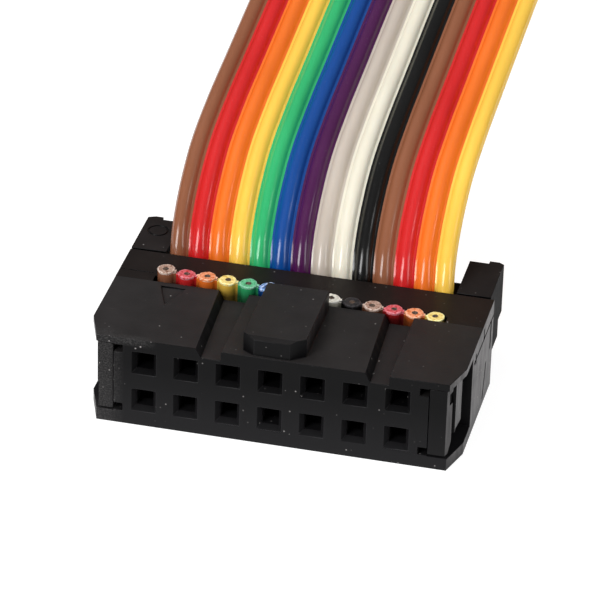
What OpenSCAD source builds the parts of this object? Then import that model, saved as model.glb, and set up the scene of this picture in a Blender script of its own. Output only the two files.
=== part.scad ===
// Ribbon cable: fourteen colour-coded wires side by side, with a two-row
// socket connector pressed on at each end.
// Millimetres. X runs along the connector, -Y is the way the near socket's
// mating face looks, +Z is up. The origin is under the middle of the near
// connector, on the surface it lies on.

/* [Connector] */
// pitch of the socket holes, both ways
pitch = 2.54; // [2:0.01:3]
// number of columns of socket holes
columns = 7; // [3:1:7]
// full length of the connector
conn_l = 22.5; // [20:0.1:26]
// height of the top face above the middle of the socket rows, doubled
conn_t = 5.7; // [5.4:0.1:6.4]
// extra thickness under the sockets
under = 0.15; // [0:0.05:0.5]
// width of the front corner chamfer on the left
corner_l = 0.75; // [0.4:0.05:1.2]
// width of the front corner chamfer on the right
corner_r = 0.6; // [0.4:0.05:1.2]
// how far back the front corner chamfers run
corner_d = 2.05; // [1:0.05:3]
// depth of the socket moulding
body_d = 6.9; // [6:0.1:8]
// back face of the cover
cover_back = 10.3; // [9.5:0.1:12]
// back face of the strain relief
relief_back = 14.4; // [13:0.1:16]
// extra depth of the outer strip of each strain relief ear
ear_step = 0.3; // [0:0.05:0.6]
// how far the strain relief's right end is set in from the connector's end
relief_in = 0.25; // [0:0.05:0.5]
// height of the strain relief's underside above the surface
relief_z = 0.55; // [0:0.05:1]

/* [Key and grooves] */
// width of the polarising key
key_w = 3.75; // [3:0.05:5]
// how far right of the middle the key stands
key_x = 0.08; // [-0.5:0.01:0.5]
// height of the key above the top face
key_h = 1.2; // [0.8:0.1:1.6]
// right edge of the left groove in the top face
groove_l = -2.98; // [-4:0.01:-2]
// width of the left groove at its front
groove_l_w = 1.5; // [1:0.02:2]
// right edge of the right groove in the top face
groove_r = 7.07; // [6:0.01:8]
// width of the right groove at its front
groove_r_w = 1.42; // [1:0.02:2]
// depth of both grooves
groove_h = 0.6; // [0.3:0.05:0.7]

/* [Socket holes] */
// side of the bevelled mouth
mouth = 1.52; // [1.2:0.01:1.8]
// side of the square hole behind the mouth
hole = 1.02; // [0.7:0.01:1.1]
// depth of the bevel
bevel_d = 0.38; // [0.2:0.02:0.8]

/* [Ribbon] */
// pitch of the wires
wire_pitch = 1.27; // [1:0.01:1.5]
// thickness of the insulation
wire_t = 1.0; // [0.8:0.02:1.1]
// thickness of the web between wires
web_t = 0.2; // [0.1:0.02:0.3]
// how far the first wire's cut end stands above the connector
cut_first = 0.65; // [0:0.05:1]
// how much less each next wire stands out
cut_step = 0.05; // [0:0.01:0.1]
// distance from the origin to the middle of the cable, along the table
mid_y = 83.9; // [80:0.1:100]

/* [Hidden] */
e = 0.01;
half_l = conn_l / 2;
// middle of the connector's depth, which sits over the origin
mid_d = (relief_back + 0.1 + ear_step) / 2;
// heights of the two rows of sockets
row_lo = conn_t / 2 - pitch / 2;
row_hi = conn_t / 2 + pitch / 2;
// the wires' plane between socket moulding and cover, and behind the cover
wire_y = body_d + 0.53;
exit_y = cover_back + 0.57;
// clear half width between the end blocks that the ribbon passes
bay = 8.95;
// end channels of the socket moulding
chan_x = 9.45;
wall_x = 10.4;
wall_y = 3.95;
tip_d = 2.45;
floor_z = 0.65;
roof_z = 5.25;
black = [0.13, 0.125, 0.13];
metal = [0.72, 0.66, 0.5];
colours = [[0.56, 0.33, 0.22], [0.85, 0.18, 0.19], [0.97, 0.48, 0.15], [0.97, 0.83, 0.33],
           [0.24, 0.72, 0.44], [0.08, 0.33, 0.65], [0.36, 0.17, 0.38], [0.78, 0.74, 0.7],
           [0.92, 0.9, 0.84], [0.13, 0.13, 0.13]];
// half of the ribbon's run, in the near connector's own depth and height,
// from under the cut ends, round the cover and over to the table, with how
// far it has drifted to the side
run = [[wire_y, 1.35, 0], [7.7, 0.8, 0], [8.4, 0.56, -0.02], [9.9, 0.56, -0.06], [10.6, 0.8, -0.08], [exit_y, 1.35, -0.1],
       [exit_y, 5.6, -0.12], [11.45, 6.7, -0.2], [12.6, 7.8, -0.28], [14, 9.1, -0.28], [16, 10.6, -0.2], [19, 12, 0],
       [23, 13.3, 0.25], [28, 15, 0.6], [34, 16.5, 0.9], [40, 17.1, 1], [46, 16.6, 0.95], [53, 14.7, 0.8], [60, 11.6, 0.6],
       [67, 7.9, 0.4], [74, 4.4, 0.2], [80, 2, 0.1], [85, 0.8, 0], [89, 0.56, 0]];

function wx(k) = (k - 6.5) * wire_pitch;
function top_end(k) = conn_t + cut_first - cut_step * k;
// the whole run of wire k in the y-z plane of the origin
function route(k) = concat(
    [[wire_y - mid_d, top_end(k)]],
    [for (p = run) [p[0] - mid_d, p[1]]],
    [for (i = [len(run) - 1 : -1 : 0]) [2 * mid_y - run[i][0] + mid_d, run[i][1]]],
    [[2 * mid_y - wire_y + mid_d, top_end(13 - k)]]);
// the connectors' extra thickness lifts the route near them, not where it lies down
function lift(q) = under * min(1, max(abs(q[0] - mid_y) - 30, 0) / 30);
// sideways drift at each point of the route
drift = concat([0], [for (p = run) p[2]], [for (p = run) 0], [0]);
function unit(v) = v / norm(v);
// the direction across the ribbon's thickness at point i, lengthened at a mitre
function across(p, i) =
    let (a = unit(p[max(i, 1)] - p[max(i, 1) - 1]),
         b = unit(p[min(i + 1, len(p) - 1)] - p[min(i, len(p) - 2)]),
         t = unit(a + b))
    [-t[1], t[0]] / (t * a);
// outline of one wire: a rounded insulation with half of each web
outline = [[-wire_pitch / 2, -web_t / 2], [-0.3, -wire_t / 2], [0.3, -wire_t / 2], [wire_pitch / 2, -web_t / 2],
           [wire_pitch / 2, web_t / 2], [0.3, wire_t / 2], [-0.3, wire_t / 2], [-wire_pitch / 2, web_t / 2]];

module box(a, b) {
    translate(a) cube([for (i = [0:2]) b[i] - a[i]]);
}

module both_ends() {
    children();
    mirror([1, 0, 0]) children();
}

// a plan or side outline that is drawn in y and z and pushed along x
module along_x(x0, x1) {
    translate([x0, 0, 0]) rotate([90, 0, 90]) linear_extrude(x1 - x0) children();
}

// moves a near connector piece over the origin
module near() {
    translate([0, -mid_d, under]) children();
}

// turns a connector piece round to the far end
module far() {
    translate([0, 2 * mid_y, 0]) rotate([0, 0, 180]) near() children();
}

// swept insulation of one wire
module wire_tube(k) {
    p = route(k);
    n = len(p);
    m = len(outline);
    pts = [for (i = [0:n - 1]) let (d = across(p, i)) for (q = outline)
        [wx(k) + drift[i] + q[0], p[i][0] + d[0] * q[1], p[i][1] + d[1] * q[1] + lift(p[i])]];
    polyhedron(pts, concat(
        [[for (j = [0:m - 1]) j]],
        [for (i = [0:n - 2]) for (j = [0:m - 1])
            [i * m + j, (i + 1) * m + j, (i + 1) * m + (j + 1) % m, i * m + (j + 1) % m]],
        [[for (j = [m - 1:-1:0]) (n - 1) * m + j]]), convexity = 8);
}

// the forked blade that grips wire k, in the connector's own depth
module fork(k) {
    z = (k % 2 == 0) ? row_hi : row_lo;
    for (s = [-1, 1])
        box([wx(k) + (s > 0 ? 0.15 : -0.5), body_d - e, z - 0.15],
            [wx(k) + (s > 0 ? 0.5 : -0.15), body_d + 1.55, z + 0.15]);
}

// one insulated wire, cut where the contacts grip it
module wire(k) {
    color(colours[k % 10]) difference() {
        wire_tube(k);
        near() fork(k);
        far() fork(13 - k);
    }
}

// spring contact: two beams, a crossbar and a forked blade, for wire k
module contact(k) {
    col = floor(k / 2);
    x = (col - (columns - 1) / 2) * pitch;
    z = (k % 2 == 0) ? row_hi : row_lo;
    color(metal) union() {
        for (s = [-1, 1]) {
            box([x - 0.4, 2.3, z + (s > 0 ? 0.42 : -0.62)], [x + 0.4, 6.2, z + (s > 0 ? 0.62 : -0.42)]);
            box([x - 0.3, 2.8, z + (s > 0 ? 0.27 : -0.43)], [x + 0.3, 3.5, z + (s > 0 ? 0.43 : -0.27)]);
        }
        box([x - 0.75, 5.9, z - 0.62], [x + 0.75, 6.2, z + 0.62]);
        box([min(x, wx(k)) - 0.5, 6.19, z - 0.15], [max(x, wx(k)) + 0.5, body_d, z + 0.15]);
        fork(k);
    }
}

// one socket hole with its bevelled mouth and contact chamber
module socket_hole(k) {
    col = floor(k / 2);
    x = (col - (columns - 1) / 2) * pitch;
    z = (k % 2 == 0) ? row_hi : row_lo;
    translate([x, -e, z]) rotate([-90, 45, 0])
        cylinder(h = bevel_d + e, r1 = mouth / sqrt(2), r2 = hole / sqrt(2), $fn = 4);
    box([x - hole / 2, 0.1, z - hole / 2], [x + hole / 2, 1.3, z + hole / 2]);
    box([x - 0.75, 1.2, z - 0.7], [x + 0.75, body_d + 1, z + 0.7]);
    box([min(x, wx(k)) - 0.55, 6.1, z - 0.2], [max(x, wx(k)) + 0.55, body_d + 1, z + 0.2]);
}

// groove with a straight right side and a sloped left side that widens to the back
module groove(right, w) {
    z = [conn_t - groove_h, conn_t + 0.4];
    y = [-0.5, body_d + 0.5];
    s = 0.3 / groove_h;
    l = [right - w - 0.05 * y[0], right - w - 0.05 * y[1]];
    pts = [for (i = [0, 1]) for (j = [0, 1]) for (a = [0, 1])
        [a == 0 ? l[j] + s * (conn_t - z[i]) : right, y[j], z[i]]];
    polyhedron(pts, [[0, 1, 3, 2], [4, 6, 7, 5], [0, 4, 5, 1], [2, 3, 7, 6], [0, 2, 6, 4], [1, 5, 7, 3]]);
}

module socket_body() {
    color(black) difference() {
        union() {
            translate([0, 0, -under]) linear_extrude(conn_t + under) polygon([[corner_l - half_l, 0],
                [half_l - corner_r, 0], [half_l, corner_d], [half_l, body_d], [-half_l, body_d], [-half_l, corner_d]]);
            // polarising key with cut front corners and a lowered front edge
            intersection() {
                translate([key_x, 0, 0]) linear_extrude(conn_t + key_h) polygon([[-key_w / 2, 0.62],
                    [-key_w / 2 + 0.75, 0.15], [key_w / 2 - 0.85, 0.15], [key_w / 2, 0.8], [key_w / 2, 6.6], [-key_w / 2, 6.6]]);
                along_x(-key_w, key_w) polygon([[0.15, conn_t - 1], [6.6, conn_t - 1], [6.6, conn_t + key_h],
                    [0.45, conn_t + key_h], [0.15, conn_t + key_h - 0.15]]);
            }
        }
        for (k = [0:13]) socket_hole(k);
        // end channels for the cover's legs, open to the side at the front
        both_ends() {
            box([chan_x, -1, floor_z], [half_l + 1, wall_y, roof_z]);
            box([chan_x, 1, floor_z], [wall_x, body_d + 1, roof_z]);
            // small square reliefs beside the leg tips
            box([chan_x - 0.55, -1, roof_z - 0.55], [chan_x + e, 2.6, roof_z - 0.05]);
            box([chan_x - 0.55, -1, floor_z + 0.05], [chan_x + e, 2.6, floor_z + 0.55]);
        }
        // grooves in the top face
        groove(groove_l, groove_l_w);
        groove(groove_r, groove_r_w);
        // fine line and a small notch in each end wall
        both_ends() {
            box([half_l - 0.07, wall_y + 0.3, 4.6], [half_l + 1, body_d + 1, 4.74]);
            box([half_l - 0.2, 4.8, 4.35], [half_l + 1, 5.05, 5.05]);
        }
        // engraved triangle that marks the first wire's side
        translate([0, 0, conn_t - 0.12]) linear_extrude(1) polygon([[-8.3, 6.5], [-7.55, 4.4], [-6.8, 6.5]]);
    }
}

module cover() {
    color(black) difference() {
        union() {
            // pressure bar between the end blocks, set in below for the folded ribbon
            along_x(-bay - e, bay + e) polygon([[body_d + 0.65, conn_t], [body_d + 0.65, 1.75], [8.0, 1.45],
                [8.5, 1.12], [9.8, 1.12], [cover_back, 1.5], [cover_back, conn_t]]);
            for (s = [0, 1]) mirror([s, 0, 0]) {
                // the right leg stands out a little further than the left one
                w = s == 0 ? 0.18 : 0;
                box([bay, body_d, -under], [half_l, cover_back, conn_t]);
                // latch leg, with a stepped and hooked tip
                box([chan_x + 0.05, 1.5, floor_z + 0.15], [10.0, body_d + e, roof_z - 0.05]);
                difference() {
                    intersection() {
                        linear_extrude(conn_t) polygon([[chan_x + 0.05, 0.03], [10.35 + w, 0.03], [10.55 + w, 0.77],
                            [10.4 + w, 0.77], [10.4 + w, 1.0], [10.7 + w, 1.0], [10.76 + w, tip_d], [chan_x + 0.05, tip_d]]);
                        along_x(chan_x, half_l) polygon([[0, roof_z - 0.05], [3, roof_z - 0.05], [3, 1.95], [1.1, 2.1],
                            [0.4, floor_z + 0.15], [0, floor_z + 0.15]]);
                    }
                    box([10.2, 0.4, 4.1], [half_l, 0.8, 4.85]);
                }
            }
        }
        // rounded seats for the wires and slots for the blades
        for (k = [0:13]) {
            translate([wx(k), wire_y, 0.5]) cylinder(h = conn_t, r = 0.59, $fn = 24);
            box([wx(k) - 0.55, body_d - 1, ((k % 2 == 0) ? row_hi : row_lo) - 0.2],
                [wx(k) + 0.55, body_d + 1.65, ((k % 2 == 0) ? row_hi : row_lo) + 0.2]);
        }
        // pockets for the strain relief's tongues
        both_ends() box([9.4, 8.4, 1.9], [10.6, cover_back + 1, 4.1]);
        // each end has a fine line, a notch, a slit and a slanted groove
        both_ends() {
            box([half_l - 0.07, body_d - 1, 4.6], [half_l + 1, cover_back + 1, 4.74]);
            box([half_l - 0.2, 7.2, 4.7], [half_l + 1, 7.45, 5.4]);
            box([half_l - 0.45, 9.4, 2.75], [half_l + 1, 9.68, 4.74]);
            along_x(half_l - 0.25, half_l + 1) polygon([[8.25, 2.5], [8.5, 2.5], [7.85, 0.3], [7.6, 0.3]]);
        }
        // faint line across the left end block
        box([-half_l - 1, 7.82, conn_t - 0.05], [-9.15, 7.88, conn_t + 1]);
    }
}

module strain_relief() {
    front = cover_back + 0.1;
    color(black) difference() {
        union() {
            box([-bay - 0.2, exit_y + 0.55, relief_z], [bay + 0.1, relief_back - 0.15, conn_t - 1.5]);
            // the ears; each one's outer strip stands further back
            difference() {
                translate([0, 0, relief_z]) linear_extrude(conn_t - relief_z) {
                    polygon([[-half_l, front], [-bay - 0.12, front], [-bay - 0.12, relief_back - 0.1],
                        [-10.32, relief_back - 0.1], [-10.32, relief_back - 0.1 + ear_step],
                        [-half_l + 0.45, relief_back - 0.1 + ear_step], [-half_l, relief_back - 0.3 + ear_step]]);
                    polygon([[bay - 0.05, front], [half_l - relief_in, front],
                        [half_l - relief_in, relief_back - 0.1 + ear_step],
                        [half_l - relief_in - 0.3, relief_back + 0.1 + ear_step], [10.08, relief_back + 0.1 + ear_step],
                        [10.08, relief_back + 0.1], [bay - 0.05, relief_back + 0.1]]);
                }
                // a wider gap behind the cover near the top
                both_ends() box([bay - 1, front - 1, 4.2], [half_l + 1, front + 0.1, conn_t + 1]);
            }
            // tongues that hold in the cover
            both_ends() box([9.45, 8.45, 1.9], [10.55, front + e, 4.1]);
        }
        // the lower part of each outer side is set in
        box([half_l - relief_in - 0.2, front - 1, -1], [half_l + 1, relief_back + 2, 2.45]);
        box([-half_l - 1, front - 1, -1], [-half_l + 0.2, relief_back + 2, 2.8]);
        // ring left by the ejector pin
        translate([-10.2, 12.9, conn_t - 0.06]) difference() {
            cylinder(h = 1, r = 0.66, $fn = 24);
            translate([0, 0, -1]) cylinder(h = 3, r = 0.54, $fn = 24);
        }
    }
}

near() socket_body();
near() cover();
near() strain_relief();
near() contact(0);  // contact_1
near() contact(1);  // contact_2
near() contact(2);  // contact_3
near() contact(3);  // contact_4
near() contact(4);  // contact_5
near() contact(5);  // contact_6
near() contact(6);  // contact_7
near() contact(7);  // contact_8
near() contact(8);  // contact_9
near() contact(9);  // contact_10
near() contact(10);  // contact_11
near() contact(11);  // contact_12
near() contact(12);  // contact_13
near() contact(13);  // contact_14
wire(0);  // wire_1_brown
wire(1);  // wire_2_red
wire(2);  // wire_3_orange
wire(3);  // wire_4_yellow
wire(4);  // wire_5_green
wire(5);  // wire_6_blue
wire(6);  // wire_7_purple
wire(7);  // wire_8_grey
wire(8);  // wire_9_ivory
wire(9);  // wire_10_black
wire(10);  // wire_11_brown
wire(11);  // wire_12_red
wire(12);  // wire_13_orange
wire(13);  // wire_14_yellow
far() socket_body();  // far_socket_body
far() cover();  // far_cover
far() strain_relief();  // far_strain_relief
far() contact(0);  // far_contact_1
far() contact(1);  // far_contact_2
far() contact(2);  // far_contact_3
far() contact(3);  // far_contact_4
far() contact(4);  // far_contact_5
far() contact(5);  // far_contact_6
far() contact(6);  // far_contact_7
far() contact(7);  // far_contact_8
far() contact(8);  // far_contact_9
far() contact(9);  // far_contact_10
far() contact(10);  // far_contact_11
far() contact(11);  // far_contact_12
far() contact(12);  // far_contact_13
far() contact(13);  // far_contact_14
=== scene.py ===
import bpy, bmesh, math, random
from mathutils import Matrix, Vector


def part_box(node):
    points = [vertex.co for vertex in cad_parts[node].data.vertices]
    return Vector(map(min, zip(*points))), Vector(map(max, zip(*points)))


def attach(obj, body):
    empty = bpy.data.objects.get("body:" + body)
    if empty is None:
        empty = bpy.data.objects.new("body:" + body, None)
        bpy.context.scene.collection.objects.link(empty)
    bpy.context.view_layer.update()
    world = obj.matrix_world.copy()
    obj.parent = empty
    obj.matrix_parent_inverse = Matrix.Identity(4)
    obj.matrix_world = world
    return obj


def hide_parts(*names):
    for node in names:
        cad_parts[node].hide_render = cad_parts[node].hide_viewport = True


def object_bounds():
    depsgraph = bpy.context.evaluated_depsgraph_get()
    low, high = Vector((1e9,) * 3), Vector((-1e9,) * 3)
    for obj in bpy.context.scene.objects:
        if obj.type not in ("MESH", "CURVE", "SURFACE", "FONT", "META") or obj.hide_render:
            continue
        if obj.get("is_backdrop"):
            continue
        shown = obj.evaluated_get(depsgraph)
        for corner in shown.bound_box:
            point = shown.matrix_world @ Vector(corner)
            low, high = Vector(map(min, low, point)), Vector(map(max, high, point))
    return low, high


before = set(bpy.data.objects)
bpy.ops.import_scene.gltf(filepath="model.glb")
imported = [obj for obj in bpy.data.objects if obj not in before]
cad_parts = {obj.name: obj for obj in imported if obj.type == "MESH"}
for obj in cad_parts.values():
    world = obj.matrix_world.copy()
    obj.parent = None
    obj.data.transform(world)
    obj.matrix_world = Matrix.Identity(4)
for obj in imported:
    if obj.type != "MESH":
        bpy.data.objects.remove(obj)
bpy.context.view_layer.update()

MM = 0.001

# ---------------------------------------------------------------- dimensions
# The same numbers as in the CAD model, in millimetres.
CONN_T = 5.7
UNDER = 0.15
BODY_D = 6.9
COVER_BACK = 10.3
RELIEF_BACK = 14.4
MID_D = (RELIEF_BACK + 0.1 + 0.3) / 2
WIRE_Y = BODY_D + 0.53
EXIT_Y = COVER_BACK + 0.57
MID_Y = 83.9
PITCH = 1.27
# depth, height and sideways drift
RUN = [(WIRE_Y, 1.35, 0), (7.7, 0.8, 0), (8.4, 0.56, -0.02), (9.9, 0.56, -0.06), (10.6, 0.8, -0.08), (EXIT_Y, 1.35, -0.1),
       (EXIT_Y, 5.6, -0.12), (11.45, 6.7, -0.2), (12.6, 7.8, -0.28), (14, 9.1, -0.28), (16, 10.6, -0.2), (19, 12, 0),
       (23, 13.3, 0.25), (28, 15, 0.6), (34, 16.5, 0.9), (40, 17.1, 1), (46, 16.6, 0.95), (53, 14.7, 0.8), (60, 11.6, 0.6),
       (67, 7.9, 0.4), (74, 4.4, 0.2), (80, 2, 0.1), (85, 0.8, 0), (89, 0.56, 0)]


def wx(k):
    return (k - 6.5) * PITCH


def lift(y):
    return UNDER * min(1, max(abs(y - MID_Y) - 30, 0) / 30)


def top_end(k):
    return CONN_T + 0.65 - 0.05 * k


# ---------------------------------------------------------------- camera
# Distance, height and turn come from the square mouths of the socket holes.
AZ, EL, ROLL = math.radians(12.507), math.radians(30.385), math.radians(1.718)
back = Vector((math.sin(AZ) * math.cos(EL), -math.cos(AZ) * math.cos(EL), math.sin(EL)))
right = Vector((math.cos(AZ), math.sin(AZ), 0))
up = back.cross(right)
r2 = math.cos(ROLL) * right + math.sin(ROLL) * up
u2 = -math.sin(ROLL) * right + math.cos(ROLL) * up
cam_at = r2 * 1.7865 + u2 * 5.908 + back * 246.66
cam_at = Vector((cam_at.x, cam_at.y - MID_D, cam_at.z + CONN_T / 2 + UNDER)) * MM
cam_data = bpy.data.cameras.new("camera")
cam = bpy.data.objects.new("camera", cam_data)
bpy.context.scene.collection.objects.link(cam)
cam_data.sensor_fit = "HORIZONTAL"
cam_data.sensor_width = 36
cam_data.lens = 36 * 4221.24 / 600
cam_data.clip_start, cam_data.clip_end = 0.01, 20
rot = [[r2[i], u2[i], back[i]] for i in range(3)]
cam.matrix_world = Matrix.Translation(cam_at) @ Matrix(rot).to_4x4()
bpy.context.scene.camera = cam


# ---------------------------------------------------------------- node helpers
class Nodes:
    """A short way of wiring a material's nodes."""

    def __init__(self, name):
        self.mat = bpy.data.materials.new(name)
        self.mat.use_nodes = True
        self.t = self.mat.node_tree
        self.bsdf = self.t.nodes["Principled BSDF"]

    def add(self, kind, **props):
        n = self.t.nodes.new(kind)
        for k, v in props.items():
            setattr(n, k, v)
        return n

    def link(self, a, b):
        self.t.links.new(a, b)

    def coords(self, scale=(1, 1, 1)):
        tc = self.add("ShaderNodeTexCoord")
        mp = self.add("ShaderNodeMapping")
        mp.inputs["Scale"].default_value = scale
        self.link(tc.outputs["Object"], mp.inputs["Vector"])
        return mp.outputs["Vector"]

    def noise(self, vec, scale, detail=4.0, rough=0.55):
        n = self.add("ShaderNodeTexNoise")
        n.inputs["Scale"].default_value = scale
        n.inputs["Detail"].default_value = detail
        n.inputs["Roughness"].default_value = rough
        self.link(vec, n.inputs["Vector"])
        return n.outputs["Fac"]

    def ramp(self, fac, stops):
        r = self.add("ShaderNodeValToRGB")
        els = r.color_ramp.elements
        els[0].position, els[0].color = stops[0][0], (*stops[0][1], 1)
        els[1].position, els[1].color = stops[-1][0], (*stops[-1][1], 1)
        for p, c in stops[1:-1]:
            e = els.new(p)
            e.color = (*c, 1)
        self.link(fac, r.inputs["Fac"])
        return r.outputs["Color"]

    def span(self, fac, a0, a1, b0, b1):
        m = self.add("ShaderNodeMapRange")
        m.inputs["From Min"].default_value = a0
        m.inputs["From Max"].default_value = a1
        m.inputs["To Min"].default_value = b0
        m.inputs["To Max"].default_value = b1
        self.link(fac, m.inputs["Value"])
        return m.outputs["Result"]

    def times(self, a, b):
        m = self.add("ShaderNodeMath", operation="MULTIPLY")
        self.link(a, m.inputs[0])
        self.link(b, m.inputs[1])
        return m.outputs[0]

    def mix(self, fac, a, b):
        m = self.add("ShaderNodeMix", data_type="RGBA")
        if isinstance(fac, (int, float)):
            m.inputs["Factor"].default_value = fac
        else:
            self.link(fac, m.inputs["Factor"])
        for sock, v in ((m.inputs[6], a), (m.inputs[7], b)):
            if isinstance(v, tuple):
                sock.default_value = (*v, 1)
            else:
                self.link(v, sock)
        return m.outputs[2]

    def bump(self, height, strength, distance, under=None):
        b = self.add("ShaderNodeBump")
        b.inputs["Strength"].default_value = strength
        b.inputs["Distance"].default_value = distance
        self.link(height, b.inputs["Height"])
        if under is not None:
            self.link(under, b.inputs["Normal"])
        return b.outputs["Normal"]


def moulded(name, tone, dust_and_top_light_tone, rough=0.42, seed=0.0, spec=0.2, end_wear_and_sheen=1.0):
    """Black moulded thermoplastic: fine grain, flow marks, dust and painted top light on top, scuffs and a painted
    sheen on the ends, painted shade in recesses, painted bounce light low down.
    """
    m = Nodes(name)
    v = m.coords()
    at = m.add("ShaderNodeSeparateXYZ")
    m.link(v, at.inputs[0])
    geo = m.add("ShaderNodeNewGeometry")
    face = m.add("ShaderNodeSeparateXYZ")
    m.link(geo.outputs["Normal"], face.inputs[0])
    grain = m.noise(v, 9000 + seed, 3, 0.6)
    flow = m.noise(m.coords((260, 90, 260)), 1.0, 5, 0.6)
    cloud = m.noise(v, 420 + seed, 5, 0.62)
    # painted bounce light: the front is a little paler towards its lower edge, as if lit by the floor
    low = m.span(at.outputs["Z"], 0.0, 0.0042, 1.0, 0.0)
    base = m.ramp(low, [(0.0, tone), (1.0, tuple(c * 3.2 + 0.003 for c in tone))])
    # a dull film on the outer faces that look up, partly dust and partly painted top light, thinner to the right as
    # painted light falling from the left
    dust_and_top_light = m.ramp(cloud, [(0.3, tuple(c * 0.84 for c in dust_and_top_light_tone)), (0.7, tuple(c * 1.16 for c in dust_and_top_light_tone))])
    dust_and_top_light = m.mix(m.span(at.outputs["X"], -0.011, 0.011, 0.0, 0.3), dust_and_top_light, tuple(c * 0.35 for c in dust_and_top_light_tone))
    up = m.times(m.span(face.outputs["Z"], 0.8, 0.97, 0.0, 1.0), m.span(at.outputs["Z"], 0.0046, 0.0050, 0.0, 1.0))
    base = m.mix(up, base, dust_and_top_light)
    # the outer ends are grey in upright streaks, partly scuffs and partly a painted sheen of the bright surroundings
    side = m.add("ShaderNodeMath", operation="ABSOLUTE")
    m.link(face.outputs["X"], side.inputs[0])
    streak = m.noise(m.coords((900, 2600, 420)), 1.0, 4, 0.62)
    out = m.add("ShaderNodeMath", operation="ABSOLUTE")
    m.link(at.outputs["X"], out.inputs[0])
    end = m.times(m.span(side.outputs[0], 0.86, 0.95, 0.0, 1.0), m.span(out.outputs[0], 0.01045, 0.0112, 0.35, 1.0))
    end = m.times(end, m.span(streak, 0.34, 0.62, 0.25 * end_wear_and_sheen, end_wear_and_sheen))
    # painted shade: the ambient occlusion takes the grey out of recesses and corners
    ao = m.add("ShaderNodeAmbientOcclusion", samples=6)
    ao.inputs["Distance"].default_value = 0.0012
    end = m.times(end, m.span(ao.outputs["AO"], 0.45, 1.0, 0.0, 1.0))
    base = m.mix(end, base, SCUFF_AND_SHEEN)
    # fine scratches on the top faces
    scr = m.noise(m.coords((380, 5200, 600)), 1.0, 2, 0.5)
    scratch = m.times(m.times(m.span(scr, 0.7, 0.76, 0.0, 1.0), up), m.span(cloud, 0.5, 0.66, 0.0, 0.35))
    base = m.mix(scratch, base, (0.12, 0.11, 0.11))
    # pale specks of dust, scattered, and thick on the front's left corner
    cells = m.add("ShaderNodeTexVoronoi")
    cells.inputs["Scale"].default_value = 3200
    off = m.add("ShaderNodeVectorMath", operation="ADD")
    off.inputs[1].default_value = (seed, seed * 0.7, seed * 0.3)
    m.link(v, off.inputs[0])
    m.link(off.outputs[0], cells.inputs["Vector"])
    near = m.span(cells.outputs["Distance"], 0.08, 0.2, 1.0, 0.0)
    pick = m.add("ShaderNodeSeparateColor")
    m.link(cells.outputs["Color"], pick.inputs[0])
    corner = m.times(m.span(at.outputs["X"], -0.0098, -0.0088, 1.0, 0.0), m.span(at.outputs["Y"], -0.0070, -0.0060, 1.0, 0.0))
    rim = m.times(m.times(m.span(at.outputs["X"], -0.0080, -0.0068, 1.0, 0.0), m.span(at.outputs["Z"], 0.0053, 0.0056, 0.0, 1.0)),
                  m.span(at.outputs["Y"], -0.00715, -0.0069, 1.0, 0.0))
    most = m.add("ShaderNodeMath", operation="MAXIMUM")
    m.link(corner, most.inputs[0])
    m.link(rim, most.inputs[1])
    corner = most.outputs[0]
    fine = m.noise(v, 11000, 2, 0.7)
    base = m.mix(m.times(corner, m.span(fine, 0.42, 0.66, 0.15, 0.9)), base, (0.045, 0.043, 0.043))
    many = m.span(corner, 0.0, 1.0, 0.0, 0.34)
    chance = m.add("ShaderNodeMath", operation="ADD")
    m.link(pick.outputs[0], chance.inputs[0])
    m.link(many, chance.inputs[1])
    some = m.span(chance.outputs[0], 0.9, 0.98, 0.0, 0.9)
    here = m.span(m.noise(v, 300 + seed, 3, 0.5), 0.40, 0.60, 0.2, 1.0)
    spot = m.times(m.times(near, some), here)
    colour = m.mix(spot, base, (0.36, 0.34, 0.33))
    m.link(colour, m.bsdf.inputs["Base Color"])
    m.link(m.span(flow, 0.3, 0.7, rough - 0.05, rough + 0.08), m.bsdf.inputs["Roughness"])
    m.bsdf.inputs["Specular IOR Level"].default_value = spec
    n = m.bump(grain, 0.3, 0.00001)
    n = m.bump(flow, 0.25, 0.00004, n)
    m.link(n, m.bsdf.inputs["Normal"])
    return m.mat


def insulation(name, tone, seed=0.0, spec=0.5, deep=0.06):
    """Soft PVC insulation: drawn lengthways, slightly uneven in tone and gloss."""
    m = Nodes(name)
    blotch = m.noise(m.coords((700, 120, 120)), 1.0 + seed * 0.01, 4, 0.6)
    drawn = m.noise(m.coords((14000, 260, 260)), 1.0, 3, 0.6)
    fine = m.noise(m.coords(), 5200 + seed * 13, 3, 0.6)
    lo = tuple(c * 0.93 for c in tone)
    hi = tuple(min(1, c * 1.06 + 0.002) for c in tone)
    colour = m.ramp(blotch, [(0.3, lo), (0.7, hi)])
    colour = m.mix(m.span(fine, 0.62, 0.8, 0.0, 0.08), colour, tuple(min(1, c * 0.6 + 0.25) for c in tone))
    m.link(colour, m.bsdf.inputs["Base Color"])
    m.link(m.span(blotch, 0.3, 0.7, 0.16, 0.22), m.bsdf.inputs["Roughness"])
    m.bsdf.inputs["Specular IOR Level"].default_value = spec
    m.bsdf.inputs["Subsurface Weight"].default_value = deep
    m.bsdf.inputs["Subsurface Radius"].default_value = (1.0, 0.7, 0.5)
    m.bsdf.inputs["Subsurface Scale"].default_value = 0.0003
    n = m.bump(drawn, 0.10, 0.000006)
    n = m.bump(fine, 0.06, 0.000006, n)
    m.link(n, m.bsdf.inputs["Normal"])
    return m.mat


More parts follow.
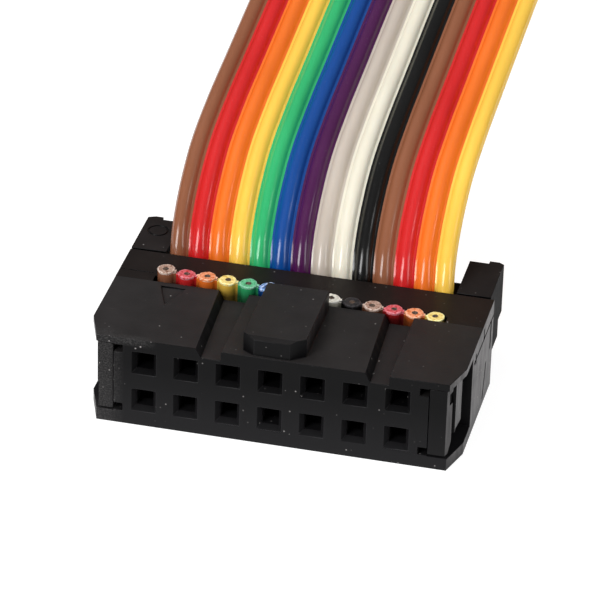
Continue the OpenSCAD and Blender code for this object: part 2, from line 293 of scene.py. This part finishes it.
def shade_painted_stub(name, tone):
    """Insulation just below a cut end, with painted shade: darker the deeper it sits between the mouldings."""
    m = Nodes(name)
    v = m.coords()
    sep = m.add("ShaderNodeSeparateXYZ")
    m.link(v, sep.inputs[0])
    fine = m.noise(v, 3200, 3, 0.6)
    wob = m.add("ShaderNodeMath", operation="MULTIPLY_ADD")
    m.link(fine, wob.inputs[0])
    wob.inputs[1].default_value = 0.00035
    m.link(sep.outputs["Z"], wob.inputs[2])
    # painted shade: the colour falls towards near black lower down, where the mouldings close over the wire
    deep = m.span(wob.outputs[0], 0.0056, 0.0066, 0.0, 1.0)
    m.link(m.ramp(deep, [(0.0, tuple(c * 0.12 + 0.001 for c in tone)), (0.45, tuple(c * 0.5 for c in tone)), (1.0, tone)]),
           m.bsdf.inputs["Base Color"])
    m.link(m.span(fine, 0.3, 0.7, 0.4, 0.55), m.bsdf.inputs["Roughness"])
    m.bsdf.inputs["Specular IOR Level"].default_value = 0.3
    m.link(m.bump(fine, 0.2, 0.00001), m.bsdf.inputs["Normal"])
    return m.mat


def sheared(name, pale, tone):
    """Insulation where a blade cut it: paler, dull and torn."""
    m = Nodes(name)
    torn = m.noise(m.coords(), 6500, 4, 0.65)
    m.link(m.ramp(torn, [(0.36, tone), (0.52, pale), (0.75, tuple(min(1, c * 1.12) for c in pale))]),
           m.bsdf.inputs["Base Color"])
    m.link(m.span(torn, 0.3, 0.7, 0.45, 0.65), m.bsdf.inputs["Roughness"])
    m.bsdf.inputs["Specular IOR Level"].default_value = 0.4
    m.link(m.bump(torn, 0.6, 0.00004), m.bsdf.inputs["Normal"])
    return m.mat


def metal(name, tone, rough=0.34):
    m = Nodes(name)
    rolled = m.noise(m.coords((5200, 420, 5200)), 1.0, 4, 0.6)
    stain = m.noise(m.coords(), 900, 4, 0.6)
    m.link(m.ramp(stain, [(0.3, tuple(c * 0.72 for c in tone)), (0.7, tone)]), m.bsdf.inputs["Base Color"])
    m.link(m.span(rolled, 0.3, 0.7, rough - 0.08, rough + 0.1), m.bsdf.inputs["Roughness"])
    m.bsdf.inputs["Metallic"].default_value = 1.0
    m.link(m.bump(rolled, 0.2, 0.000008), m.bsdf.inputs["Normal"])
    return m.mat


# grey of the ends: partly scuffs, partly a painted sheen of the bright surroundings
SCUFF_AND_SHEEN = (0.125, 0.118, 0.12)
# the third colour of each moulding is its dust and painted top light; on the cover it is warmer, partly a painted
# reflection of the ribbon's colours
BLACK = moulded("moulding_black_socket", (0.0024, 0.0023, 0.0026), (0.0250, 0.0228, 0.0228), 0.42, 0.0, 0.1)
BLACK_COVER = moulded("moulding_black_cover", (0.0018, 0.0017, 0.0019), (0.0140, 0.0108, 0.0100), 0.40, 3.7, 0.1)
BLACK_RELIEF = moulded("moulding_black_relief", (0.0018, 0.0017, 0.0019), (0.0205, 0.0175, 0.0172), 0.62, 7.1, 0.035, 0.1)
BLACK_EDGE = moulded("moulding_black_edge", (0.0030, 0.0028, 0.0033), (0.023, 0.021, 0.021), 0.42, 1.3, 0.14)
CONTACT = metal("contact_plated", (0.10, 0.097, 0.10), 0.5)
TONES = {
    "brown": (0.247, 0.088, 0.041), "red": (0.585, 0.0135, 0.0145), "orange": (0.79, 0.156, 0.0135),
    "yellow": (0.865, 0.535, 0.071), "green": (0.024, 0.40, 0.137), "blue": (0.002, 0.055, 0.26),
    "purple": (0.061, 0.0065, 0.06), "grey": (0.512, 0.446, 0.384), "ivory": (0.748, 0.708, 0.586),
    "black": (0.0025, 0.0024, 0.0024)}
PALE = {
    "brown": (0.60, 0.47, 0.40), "red": (0.70, 0.22, 0.26), "orange": (0.84, 0.48, 0.32),
    "yellow": (0.86, 0.82, 0.42), "green": (0.24, 0.56, 0.38), "blue": (0.26, 0.42, 0.70),
    "purple": (0.25, 0.14, 0.28), "grey": (0.66, 0.63, 0.60), "ivory": (0.82, 0.80, 0.74),
    "black": (0.05, 0.046, 0.05)}
ORDER = ["brown", "red", "orange", "yellow", "green", "blue", "purple", "grey", "ivory", "black"]
WIRES = {c: insulation("insulation_" + c, TONES[c], i * 7.0, 0.6, 0.18 if c in ("grey", "ivory", "yellow") else 0.05)
         for i, c in enumerate(ORDER)}
CUTS = {c: sheared("cut_" + c, PALE[c], TONES[c]) for c in ORDER}
SHADE_PAINTED_STUBS = {c: shade_painted_stub("stub_" + c, TONES[c]) for c in ORDER}
RINGS = {c: sheared("ring_" + c, tuple(0.5 * a + 0.5 * b for a, b in zip(PALE[c], TONES[c])), tuple(b * 0.7 for b in TONES[c]))
         for c in ORDER}
# painted shade: the bore round the strands is painted dark brown, standing in for the shade inside the cut end
BORE_SHADE = sheared("bore_painted_shade", (0.10, 0.07, 0.055), (0.03, 0.02, 0.016))
COPPER = metal("strand_metal", (0.36, 0.24, 0.16), 0.5)


# ---------------------------------------------------------------- mouldings
def link(name, bm=None, mesh=None):
    if mesh is None:
        mesh = bpy.data.meshes.new(name)
        bm.to_mesh(mesh)
        bm.free()
    o = bpy.data.objects.new(name, mesh)
    bpy.context.scene.collection.objects.link(o)
    return o


def moulding(node, name, mat, width=0.06):
    """The CAD shape with the small rounded edges that a mould leaves."""
    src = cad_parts[node]
    bm = bmesh.new()
    bm.from_mesh(src.data)
    bmesh.ops.remove_doubles(bm, verts=bm.verts, dist=1e-7)
    bmesh.ops.dissolve_limit(bm, angle_limit=math.radians(0.6), verts=bm.verts, edges=bm.edges)
    for f in bm.faces:
        f.smooth = False
        f.material_index = 0
    o = link(name, bm)
    o.data.materials.clear()
    o.data.materials.append(mat)
    o.data.materials.append(BLACK_EDGE)
    bev = o.modifiers.new("edges", "BEVEL")
    bev.width = width * MM
    bev.segments = 2
    bev.limit_method = "ANGLE"
    bev.angle_limit = math.radians(28)
    bev.use_clamp_overlap = True
    bev.miter_outer = "MITER_ARC"
    bev.material = 1
    dg = bpy.context.evaluated_depsgraph_get()
    mesh = bpy.data.meshes.new_from_object(o.evaluated_get(dg))
    o.modifiers.clear()
    o.data = mesh
    for f in mesh.polygons:
        f.use_smooth = f.material_index == 1
    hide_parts(node)
    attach(o, "root")
    return o


socket = moulding("socket_body", "socket_moulding", BLACK)
cover = moulding("cover", "cover_moulding", BLACK_COVER)
relief = moulding("strain_relief", "strain_relief_moulding", BLACK_RELIEF)


def turned_round(near, near_node, node, name, mat):
    """A near moulding turned half round about Z and set at the far end."""
    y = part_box(near_node)[0][1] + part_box(node)[1][1]
    bm = bmesh.new()
    bm.from_mesh(near.data)
    for v in bm.verts:
        v.co = (-v.co.x, y - v.co.y, v.co.z)
    o = link(name, bm)
    o.data.materials.clear()
    o.data.materials.append(mat)
    o.data.materials.append(BLACK_EDGE)
    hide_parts(node)
    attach(o, "root")
    return o


far_socket = turned_round(socket, "socket_body", "far_socket_body", "far_socket_moulding", BLACK)
far_cover = turned_round(cover, "cover", "far_cover", "far_cover_moulding", BLACK_COVER)
far_relief = turned_round(relief, "strain_relief", "far_strain_relief", "far_strain_relief_moulding", BLACK_RELIEF)

for n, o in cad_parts.items():
    if "contact" in n:
        o.data.materials.clear()
        o.data.materials.append(CONTACT)


# ---------------------------------------------------------------- ribbon
def smooth_run(points, step):
    """Centripetal Catmull-Rom through the points, with points about step(y) apart."""
    out = []
    P = [Vector(p) for p in points]
    P = [P[0] * 2 - P[1]] + P + [P[-1] * 2 - P[-2]]
    for i in range(1, len(P) - 2):
        p0, p1, p2, p3 = P[i - 1:i + 3]
        t0 = 0.0
        t1 = t0 + math.sqrt((p1 - p0).length)
        t2 = t1 + math.sqrt((p2 - p1).length)
        t3 = t2 + math.sqrt((p3 - p2).length)
        n = max(1, round((p2 - p1).length / step(p1[0])))
        for j in range(n):
            t = t1 + (t2 - t1) * j / n
            a1 = p0 * ((t1 - t) / (t1 - t0)) + p1 * ((t - t0) / (t1 - t0))
            a2 = p1 * ((t2 - t) / (t2 - t1)) + p2 * ((t - t1) / (t2 - t1))
            a3 = p2 * ((t3 - t) / (t3 - t2)) + p3 * ((t - t2) / (t3 - t2))
            b1 = a1 * ((t2 - t) / (t2 - t0)) + a2 * ((t - t0) / (t2 - t0))
            b2 = a2 * ((t3 - t) / (t3 - t1)) + a3 * ((t - t1) / (t3 - t1))
            out.append(b1 * ((t2 - t) / (t2 - t1)) + b2 * ((t - t1) / (t2 - t1)))
    out.append(P[-2])
    return out


half = smooth_run([(WIRE_Y, 2.2, 0)] + RUN, lambda y: 0.3 if y < 16 else (0.7 if y < 40 else 2.0))
line = [Vector((p[0] - MID_D, p[1], p[2])) for p in half]
line += [Vector((2 * MID_Y - p[0] + MID_D, p[1], 0)) for p in reversed(half)]


def wire_line(k):
    """Depth, height and drift along wire k, from one cut end to the other."""
    head = [Vector((WIRE_Y - MID_D, z, 0)) for z in (top_end(k) - 0.15, top_end(k) - 0.35, 5.2, 4.8, 3.6)]
    tail = [Vector((2 * MID_Y - WIRE_Y + MID_D, z, 0)) for z in (3.6, 4.8, 5.2, top_end(13 - k) - 0.35, top_end(13 - k) - 0.15)]
    return [Vector((p[0], p[1] + lift(p[0]), p[2])) for p in head + line + tail]


# half outline of one wire's section: round insulation that runs into a thin web
R, WEB = 0.5, 0.13
outline = []
for i in range(11):
    a = math.radians(-62 + 124 * i / 10)
    outline.append((R * math.sin(a), R * math.cos(a)))
outline = [(-PITCH / 2, WEB), (-0.52, 0.148), (-0.495, 0.158), (-0.468, 0.188)] + outline + [
    (0.468, 0.188), (0.495, 0.158), (0.52, 0.148), (PITCH / 2, WEB)]
outline = outline + [(x, -y) for x, y in reversed(outline)]

# how far a cut end sits below its neighbours
SINK = {1: 0.1, 3: 0.02, 9: 0.02}
bm = bmesh.new()
random.seed(11)
for k in range(14):
    pts = wire_line(k)
    shape = []
    for x, y in outline:
        # the outer wires keep only a rounded trace of web on their outside
        if k == 0 and x < -0.46:
            x, y = -0.44 + (x + 0.46) * 0.35, y * 0.9
        if k == 13 and x > 0.46:
            x, y = 0.46 + (x - 0.46) * 0.25, y * 0.9
        shape.append((x, y))
    m = len(shape)
    rings = []
    for i, p in enumerate(pts):
        a = (pts[i] - pts[i - 1]) if i else (pts[1] - pts[0])
        b = (pts[i + 1] - pts[i]) if i < len(pts) - 1 else a
        t = (a.xy.normalized() + b.xy.normalized()).normalized()
        rings.append([bm.verts.new(Vector((wx(k) + p[2] + x, p[0] - t[1] * y, p[1] + t[0] * y)) * MM)
                      for x, y in shape])
    for r0, r1 in zip(rings, rings[1:]):
        for j in range(m):
            f = bm.faces.new((r0[j], r1[j], r1[(j + 1) % m], r0[(j + 1) % m]))
            # the three rings nearest each cut end take the stub materials, with shade painted darker deeper between
            # the mouldings
            f.material_index = k % 10 + (20 if r0 in (rings[0], rings[1], rings[2]) or r1 in rings[-3:] else 0)
            # the seam inside a web stays flat, so the web's own face is shaded level
            f.smooth = not (abs(shape[j][0]) > 0.6 and abs(shape[(j + 1) % m][0]) > 0.6 and shape[j][1] * shape[(j + 1) % m][1] < 0)
    # cut ends: a flat web and, on each wire, a torn ring round the bore
    for ring, end in ((rings[0], 0), (rings[-1], 1)):
        z = top_end(k if end == 0 else 13 - k) + UNDER - SINK.get(k, 0)
        y0 = (WIRE_Y - MID_D) if end == 0 else (2 * MID_Y - WIRE_Y + MID_D)
        flip = 1 if end == 0 else -1
        cap = [bm.verts.new(Vector((wx(k) + x, y0 - y * flip * 0.9, z - 0.035 + random.uniform(-0.012, 0.012))) * MM)
               for x, y in shape]
        for j in range(m):
            f = bm.faces.new((ring[j], cap[j], cap[(j + 1) % m], ring[(j + 1) % m]))
            f.material_index = 10 + k % 10
        bm.faces.new(cap).material_index = 10 + k % 10
        lean, nod = random.uniform(-0.05, 0.05), random.uniform(-0.04, 0.04)
        ox, oy = random.uniform(-0.06, 0.06), random.uniform(-0.05, 0.05)
        wob = [random.uniform(-1, 1) for j in range(24)]
        prev = None
        # the two lowest rings take the stub materials with their painted shade; the innermost take the bore's painted
        # shade
        for r, dz, torn, mat in ((0.455, -0.6, 0, 20), (0.475, -0.25, 0.004, 20), (0.515, -0.1, 0.01, 10), (0.54, -0.04, 0.016, 10),
                                 (0.53, 0.0, 0.018, 10), (0.46, 0.02, 0.014, 10), (0.33, 0.005, 0.012, 30), (0.185, 0.012, 0.01, 30),
                                 (0.14, 0.0, 0.006, 40), (0.13, -0.028, 0.0, 40)):
            cx, cy = (ox, oy) if r < 0.3 else (ox * 0.4, oy * 0.4) if r < 0.4 else (0, 0)
            new = []
            for j in range(24):
                a = math.radians(15 * j)
                rr = r + torn * (0.7 * wob[j] + 0.5 * math.sin(3 * a + k))
                px, py = cx + rr * math.cos(a), cy + rr * math.sin(a)
                new.append(bm.verts.new(Vector((wx(k) + px, y0 + py,
                           z + dz + (lean * px + nod * py) * (dz > -0.2) + torn * random.uniform(-0.8, 0.8))) * MM))
            if prev:
                for j in range(24):
                    f = bm.faces.new((prev[j], new[j], new[(j + 1) % 24], prev[(j + 1) % 24]))
                    f.material_index = {10: 10, 20: 20, 30: 30, 40: 40}[mat] + (k % 10 if mat < 40 else 0)
                    f.smooth = True
            else:
                bm.faces.new(list(reversed(new)))
            prev = new
        f = bm.faces.new(prev)
        f.material_index = 40
for e in bm.edges:
    e.smooth = all(f.smooth for f in e.link_faces)
bmesh.ops.recalc_face_normals(bm, faces=bm.faces)
ribbon = link("ribbon", bm)
for c in ORDER:
    ribbon.data.materials.append(WIRES[c])
for c in ORDER:
    ribbon.data.materials.append(CUTS[c])
for c in ORDER:
    ribbon.data.materials.append(SHADE_PAINTED_STUBS[c])
for c in ORDER:
    ribbon.data.materials.append(RINGS[c])
ribbon.data.materials.append(BORE_SHADE)
wire_nodes = [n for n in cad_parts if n.startswith("wire_")]
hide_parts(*wire_nodes)
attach(ribbon, "root")

# seven fine strands show in each cut end
bm = bmesh.new()
random.seed(4)
for k in range(14):
    for end in (0, 1):
        y = (WIRE_Y - MID_D) if end == 0 else (2 * MID_Y - WIRE_Y + MID_D)
        z = top_end(k if end == 0 else 13 - k) + UNDER - SINK.get(k, 0)
        ox, oy = random.uniform(-0.03, 0.03), random.uniform(-0.03, 0.03)
        for s in range(7):
            a = s * math.pi / 3
            rr = 0 if s == 6 else 0.068
            cx, cy = wx(k) + ox + rr * math.cos(a), y + oy + rr * math.sin(a)
            top = z - 0.022 + random.uniform(-0.01, 0.006)
            lo = [bm.verts.new(Vector((cx + 0.036 * math.cos(j * math.pi / 4), cy + 0.036 * math.sin(j * math.pi / 4), z - 0.3)) * MM) for j in range(8)]
            mid = [bm.verts.new(Vector((cx + 0.036 * math.cos(j * math.pi / 4), cy + 0.036 * math.sin(j * math.pi / 4), top - 0.012)) * MM) for j in range(8)]
            hi = [bm.verts.new(Vector((cx + 0.026 * math.cos(j * math.pi / 4), cy + 0.026 * math.sin(j * math.pi / 4), top)) * MM) for j in range(8)]
            for q0, q1 in ((lo, mid), (mid, hi)):
                for j in range(8):
                    bm.faces.new((q0[j], q0[(j + 1) % 8], q1[(j + 1) % 8], q1[j])).smooth = True
            bm.faces.new(hi)
            bm.faces.new(list(reversed(lo)))
bmesh.ops.recalc_face_normals(bm, faces=bm.faces)
strands = link("wire_strands", bm)
strands.data.materials.append(COPPER)
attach(strands, "root")

# a torn hair of insulation hangs off the blue wire's cut end
hair = [(-2.3, 6.98, 6.03, 0.17, 0.04), (-2.32, 7.15, 6.1, 0.15, 0.045), (-2.26, 7.28, 6.15, 0.13, 0.045), (-2.16, 7.42, 6.2, 0.115, 0.04),
        (-2.05, 7.57, 6.23, 0.1, 0.035), (-1.93, 7.7, 6.23, 0.085, 0.03), (-1.8, 7.8, 6.18, 0.07, 0.025), (-1.64, 7.82, 6.13, 0.045, 0.018),
        (-1.48, 7.78, 6.07, 0.015, 0.008)]
bm = bmesh.new()
rings = []
for i, (x, y, z, w, t) in enumerate(hair):
    a = Vector(hair[min(i + 1, len(hair) - 1)][:2]) - Vector(hair[max(i - 1, 0)][:2])
    a.normalize()
    n = Vector((-a.y, a.x))
    rings.append([bm.verts.new(Vector((x + n.x * w * c * 0.5, y + n.y * w * c * 0.5 - MID_D, z + t * s + UNDER)) * MM)
                  for c, s in ((1, 0), (0.6, 0.8), (-0.6, 0.8), (-1, 0), (-0.6, -0.8), (0.6, -0.8))])
for r0, r1 in zip(rings, rings[1:]):
    for j in range(6):
        bm.faces.new((r0[j], r1[j], r1[(j + 1) % 6], r0[(j + 1) % 6])).smooth = True
bm.faces.new(rings[0])
bm.faces.new(list(reversed(rings[-1])))
bmesh.ops.recalc_face_normals(bm, faces=bm.faces)
whisker = link("torn_hair", bm)
whisker.data.materials.append(sheared("torn_hair_blue", (0.50, 0.62, 0.85), (0.10, 0.22, 0.60)))
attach(whisker, "root")

# ---------------------------------------------------------------- floor and light
bm = bmesh.new()
bmesh.ops.create_grid(bm, x_segments=2, y_segments=2, size=3.0)
floor = link("floor", bm)
fm = Nodes("floor_white")
fn = fm.noise(fm.coords(), 3.0, 2, 0.5)
fm.link(fm.ramp(fn, [(0.3, (0.33, 0.33, 0.33)), (0.7, (0.35, 0.35, 0.35))]), fm.bsdf.inputs["Base Color"])
fm.bsdf.inputs["Roughness"].default_value = 0.9
fm.bsdf.inputs["Specular IOR Level"].default_value = 0.1
fm.bsdf.inputs["Emission Color"].default_value = (1, 1, 1, 1)
fm.bsdf.inputs["Emission Strength"].default_value = 0.86
floor.data.materials.append(fm.mat)
floor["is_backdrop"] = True

# dim surroundings, a little brighter on the left and overhead
world = bpy.data.worlds.new("studio")
bpy.context.scene.world = world
world.use_nodes = True
wt = world.node_tree
bg = wt.nodes["Background"]
tc = wt.nodes.new("ShaderNodeTexCoord")
sp = wt.nodes.new("ShaderNodeSeparateXYZ")
wt.links.new(tc.outputs["Generated"], sp.inputs[0])


def along(axis, a0, a1, b0, b1):
    m = wt.nodes.new("ShaderNodeMapRange")
    m.interpolation_type = "SMOOTHSTEP"
    for key, val in (("From Min", a0), ("From Max", a1), ("To Min", b0), ("To Max", b1)):
        m.inputs[key].default_value = val
    wt.links.new(sp.outputs[axis], m.inputs["Value"])
    return m.outputs["Result"]


total = along("Z", 0.1, 1.0, 0.0, 0.1)
for part in (along("X", -1.0, 1.0, 0.05, 0.02), along("Y", -1.0, 1.0, 0.08, 0.07)):
    add = wt.nodes.new("ShaderNodeMath")
    add.operation = "ADD"
    wt.links.new(total, add.inputs[0])
    wt.links.new(part, add.inputs[1])
    total = add.outputs[0]
bg.inputs[0].default_value = (1, 1, 1, 1)
wt.links.new(total, bg.inputs[1])


def panel(name, at, aim, size, power, colour=(1, 1, 1)):
    d = bpy.data.lights.new(name, "AREA")
    d.shape = "RECTANGLE"
    d.size, d.size_y = size
    d.energy = power
    d.color = colour
    o = bpy.data.objects.new(name, d)
    bpy.context.scene.collection.objects.link(o)
    o.location = at
    o.rotation_mode = "QUATERNION"
    o.rotation_quaternion = (Vector(aim) - Vector(at)).to_track_quat("-Z", "Y")
    return o


def strip(name, azimuth, elevation, far, size, glow, mirrored=True):
    """A softbox of a given brightness, its azimuth in degrees right of the front."""
    a, e = math.radians(azimuth), math.radians(elevation)
    at = (far * math.sin(a) * math.cos(e), -far * math.cos(a) * math.cos(e), far * math.sin(e))
    o = panel(name, at, (0, 0.005, 0.006), size, glow * math.pi * size[0] * size[1])
    o.visible_glossy = mirrored
    return o


# a softbox on each side of the front, the left one brighter, and broad washes
# from high up at the sides that fill without a reflection of their own
strip("left_strip", -30, 27, 0.6, (0.26, 0.42), 8.5)
strip("right_strip", 66, 24, 0.6, (0.2, 0.44), 3)
strip("right_tall", 66, 54, 0.6, (0.24, 0.3), 1, False)
strip("left_wash", -100, 62, 0.9, (0.8, 0.7), 2.3, False)
strip("right_wash", 105, 66, 0.9, (0.8, 0.7), 0.8, False)
bpy.context.scene.view_settings.view_transform = "Standard"

lo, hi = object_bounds()
